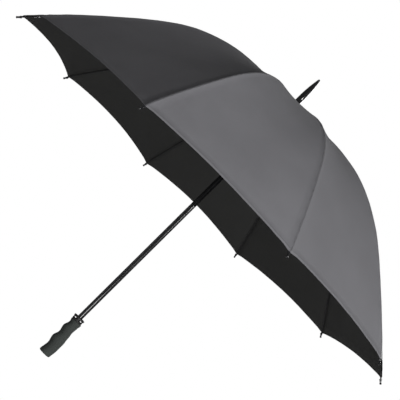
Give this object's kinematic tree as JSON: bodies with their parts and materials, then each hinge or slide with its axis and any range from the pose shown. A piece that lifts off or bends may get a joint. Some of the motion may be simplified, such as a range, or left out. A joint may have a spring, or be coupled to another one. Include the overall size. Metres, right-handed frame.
{
  "type": "golf umbrella",
  "caption": "Opened manual golf umbrella: round grey canopy on fibreglass ribs with stretchers and a sliding runner, straight shaft, pointed ferrule and a finger-grooved grip.",
  "frame": {"origin": "middle of the handle's flat end face", "axes": "+Z along the shaft, from the handle to the ferrule; +X along rib 1; the grip's finger grooves face -X"},
  "size_m": [1.306, 1.2424, 0.976],
  "materials": {
    "canopy": "matt pongee weave",
    "strap": "matt pongee weave",
    "shaft": "glossy black fibreglass",
    "rib": "satin black fibreglass",
    "linkage": "black enamelled steel",
    "moulding": "moulded black nylon",
    "ferrule": "glossy black",
    "rib_tip": "glossy black",
    "grip": "soft matt rubber",
    "spring": "bare spring steel"
  },
  "bodies": {
    "handle_and_shaft": {"shaft": "shaft", "grip": "grip", "tip_cup": "moulding", "ferrule": "ferrule", "canopy_washer": "moulding", "notch": "moulding"},
    "rib_arm_01": {"rib_01": "rib", "rib_clip_01": "linkage", "rib_tip_01": "rib_tip", "canopy_gore_01": "canopy"},
    "rib_arm_02": {"rib_02": "rib", "rib_clip_02": "linkage", "rib_tip_02": "rib_tip", "canopy_gore_02": "canopy"},
    "rib_arm_03": {"rib_03": "rib", "rib_clip_03": "linkage", "rib_tip_03": "rib_tip", "canopy_gore_03": "canopy"},
    "rib_arm_04": {"rib_04": "rib", "rib_clip_04": "linkage", "rib_tip_04": "rib_tip", "canopy_gore_04": "canopy", "closing_strap": "strap"},
    "rib_arm_05": {"rib_05": "rib", "rib_clip_05": "linkage", "rib_tip_05": "rib_tip", "canopy_gore_05": "canopy"},
    "rib_arm_06": {"rib_06": "rib", "rib_clip_06": "linkage", "rib_tip_06": "rib_tip", "canopy_gore_06": "canopy"},
    "rib_arm_07": {"rib_07": "rib", "rib_clip_07": "linkage", "rib_tip_07": "rib_tip", "canopy_gore_07": "canopy"},
    "rib_arm_08": {"rib_08": "rib", "rib_clip_08": "linkage", "rib_tip_08": "rib_tip", "canopy_gore_08": "canopy"},
    "rib_arm_09": {"rib_09": "rib", "rib_clip_09": "linkage", "rib_tip_09": "rib_tip", "canopy_gore_09": "canopy"},
    "rib_arm_10": {"rib_10": "rib", "rib_clip_10": "linkage", "rib_tip_10": "rib_tip", "canopy_gore_10": "canopy"},
    "stretcher_arm_01": {"stretcher_01": "linkage"},
    "stretcher_arm_02": {"stretcher_02": "linkage"},
    "stretcher_arm_03": {"stretcher_03": "linkage"},
    "stretcher_arm_04": {"stretcher_04": "linkage"},
    "stretcher_arm_05": {"stretcher_05": "linkage"},
    "stretcher_arm_06": {"stretcher_06": "linkage"},
    "stretcher_arm_07": {"stretcher_07": "linkage"},
    "stretcher_arm_08": {"stretcher_08": "linkage"},
    "stretcher_arm_09": {"stretcher_09": "linkage"},
    "stretcher_arm_10": {"stretcher_10": "linkage"},
    "slider": {"runner": "moulding"},
    "top_catch_leaf": {"top_catch": "spring"},
    "bottom_catch_leaf": {"bottom_catch": "spring"}
  },
  "joints": [
    {"name": "canopy_fold", "type": "hinge", "parent": "handle_and_shaft", "child": "rib_arm_01", "pos_m": [0.0115, 0, 0.86855], "axis": [0, 1, 0], "range_deg": [0, 62.22], "deforming": ["canopy_gore_01", "top_catch", "bottom_catch"]},
    {"name": "rib_02_fold", "type": "hinge", "parent": "handle_and_shaft", "child": "rib_arm_02", "pos_m": [0.0093, 0.00676, 0.86855], "axis": [-0.5878, 0.809, 0], "range_deg": [0, 62.32], "deforming": ["canopy_gore_02"]},
    {"name": "rib_03_fold", "type": "hinge", "parent": "handle_and_shaft", "child": "rib_arm_03", "pos_m": [0.00355, 0.01094, 0.86855], "axis": [-0.9511, 0.309, 0], "range_deg": [0, 62.32], "deforming": ["canopy_gore_03"]},
    {"name": "rib_04_fold", "type": "hinge", "parent": "handle_and_shaft", "child": "rib_arm_04", "pos_m": [-0.00355, 0.01094, 0.86855], "axis": [-0.9511, -0.309, 0], "range_deg": [0, 62.32], "deforming": ["canopy_gore_04", "closing_strap"]},
    {"name": "rib_05_fold", "type": "hinge", "parent": "handle_and_shaft", "child": "rib_arm_05", "pos_m": [-0.0093, 0.00676, 0.86855], "axis": [-0.5878, -0.809, 0], "range_deg": [0, 62.32], "deforming": ["canopy_gore_05"]},
    {"name": "rib_06_fold", "type": "hinge", "parent": "handle_and_shaft", "child": "rib_arm_06", "pos_m": [-0.0115, 0, 0.86855], "axis": [0, -1, 0], "range_deg": [0, 62.32], "deforming": ["canopy_gore_06"]},
    {"name": "rib_07_fold", "type": "hinge", "parent": "handle_and_shaft", "child": "rib_arm_07", "pos_m": [-0.0093, -0.00676, 0.86855], "axis": [0.5878, -0.809, 0], "range_deg": [0, 62.32], "deforming": ["canopy_gore_07"]},
    {"name": "rib_08_fold", "type": "hinge", "parent": "handle_and_shaft", "child": "rib_arm_08", "pos_m": [-0.00355, -0.01094, 0.86855], "axis": [0.9511, -0.309, 0], "range_deg": [0, 62.32], "deforming": ["canopy_gore_08"]},
    {"name": "rib_09_fold", "type": "hinge", "parent": "handle_and_shaft", "child": "rib_arm_09", "pos_m": [0.00355, -0.01094, 0.86855], "axis": [0.9511, 0.309, 0], "range_deg": [0, 62.32], "deforming": ["canopy_gore_09"]},
    {"name": "rib_10_fold", "type": "hinge", "parent": "handle_and_shaft", "child": "rib_arm_10", "pos_m": [0.0093, -0.00676, 0.86855], "axis": [0.5878, 0.809, 0], "range_deg": [0, 62.32], "deforming": ["canopy_gore_10"]},
    {"name": "stretcher_01_swing", "type": "hinge", "parent": "rib_arm_01", "child": "stretcher_arm_01", "pos_m": [0.33623, 0, 0.80186], "axis": [0, 1, 0], "range_deg": [-124.64, 0]},
    {"name": "stretcher_02_swing", "type": "hinge", "parent": "rib_arm_02", "child": "stretcher_arm_02", "pos_m": [0.27201, 0.19763, 0.80186], "axis": [-0.5878, 0.809, 0], "range_deg": [-124.64, 0]},
    {"name": "stretcher_03_swing", "type": "hinge", "parent": "rib_arm_03", "child": "stretcher_arm_03", "pos_m": [0.1039, 0.31977, 0.80186], "axis": [-0.9511, 0.309, 0], "range_deg": [-124.64, 0]},
    {"name": "stretcher_04_swing", "type": "hinge", "parent": "rib_arm_04", "child": "stretcher_arm_04", "pos_m": [-0.1039, 0.31977, 0.80186], "axis": [-0.9511, -0.309, 0], "range_deg": [-124.64, 0]},
    {"name": "stretcher_05_swing", "type": "hinge", "parent": "rib_arm_05", "child": "stretcher_arm_05", "pos_m": [-0.27201, 0.19763, 0.80186], "axis": [-0.5878, -0.809, 0], "range_deg": [-124.64, 0]},
    {"name": "stretcher_06_swing", "type": "hinge", "parent": "rib_arm_06", "child": "stretcher_arm_06", "pos_m": [-0.33623, 0, 0.80186], "axis": [0, -1, 0], "range_deg": [-124.64, 0]},
    {"name": "stretcher_07_swing", "type": "hinge", "parent": "rib_arm_07", "child": "stretcher_arm_07", "pos_m": [-0.27201, -0.19763, 0.80186], "axis": [0.5878, -0.809, 0], "range_deg": [-124.64, 0]},
    {"name": "stretcher_08_swing", "type": "hinge", "parent": "rib_arm_08", "child": "stretcher_arm_08", "pos_m": [-0.1039, -0.31977, 0.80186], "axis": [0.9511, -0.309, 0], "range_deg": [-124.64, 0]},
    {"name": "stretcher_09_swing", "type": "hinge", "parent": "rib_arm_09", "child": "stretcher_arm_09", "pos_m": [0.1039, -0.31977, 0.80186], "axis": [0.9511, 0.309, 0], "range_deg": [-124.64, 0]},
    {"name": "stretcher_10_swing", "type": "hinge", "parent": "rib_arm_10", "child": "stretcher_arm_10", "pos_m": [0.27201, -0.19763, 0.80186], "axis": [0.5878, 0.809, 0], "range_deg": [-124.64, 0]},
    {"name": "runner_swing", "type": "hinge", "parent": "stretcher_arm_01", "child": "slider", "pos_m": [0.0115, 0, 0.73516], "axis": [0, 1, 0], "range_deg": [0, 62.32]},
    {"name": "top_catch_press", "type": "slide", "parent": "handle_and_shaft", "child": "top_catch_leaf", "axis": [0, -1, 0], "range_m": [0, 0.0036], "stiffness_N_per_m": 500},
    {"name": "bottom_catch_press", "type": "slide", "parent": "handle_and_shaft", "child": "bottom_catch_leaf", "axis": [0, -1, 0], "range_m": [0, 0.0036], "stiffness_N_per_m": 500}
  ],
  "couplings": [
    {"joint": "rib_02_fold", "follows": "canopy_fold", "ratio": 1},
    {"joint": "rib_03_fold", "follows": "canopy_fold", "ratio": 1},
    {"joint": "rib_04_fold", "follows": "canopy_fold", "ratio": 1},
    {"joint": "rib_05_fold", "follows": "canopy_fold", "ratio": 1},
    {"joint": "rib_06_fold", "follows": "canopy_fold", "ratio": 1},
    {"joint": "rib_07_fold", "follows": "canopy_fold", "ratio": 1},
    {"joint": "rib_08_fold", "follows": "canopy_fold", "ratio": 1},
    {"joint": "rib_09_fold", "follows": "canopy_fold", "ratio": 1},
    {"joint": "rib_10_fold", "follows": "canopy_fold", "ratio": 1},
    {"joint": "stretcher_01_swing", "follows": "canopy_fold", "ratio": -2},
    {"joint": "stretcher_02_swing", "follows": "canopy_fold", "ratio": -2},
    {"joint": "stretcher_03_swing", "follows": "canopy_fold", "ratio": -2},
    {"joint": "stretcher_04_swing", "follows": "canopy_fold", "ratio": -2},
    {"joint": "stretcher_05_swing", "follows": "canopy_fold", "ratio": -2},
    {"joint": "stretcher_06_swing", "follows": "canopy_fold", "ratio": -2},
    {"joint": "stretcher_07_swing", "follows": "canopy_fold", "ratio": -2},
    {"joint": "stretcher_08_swing", "follows": "canopy_fold", "ratio": -2},
    {"joint": "stretcher_09_swing", "follows": "canopy_fold", "ratio": -2},
    {"joint": "stretcher_10_swing", "follows": "canopy_fold", "ratio": -2},
    {"joint": "runner_swing", "follows": "canopy_fold", "ratio": 1}
  ]
}
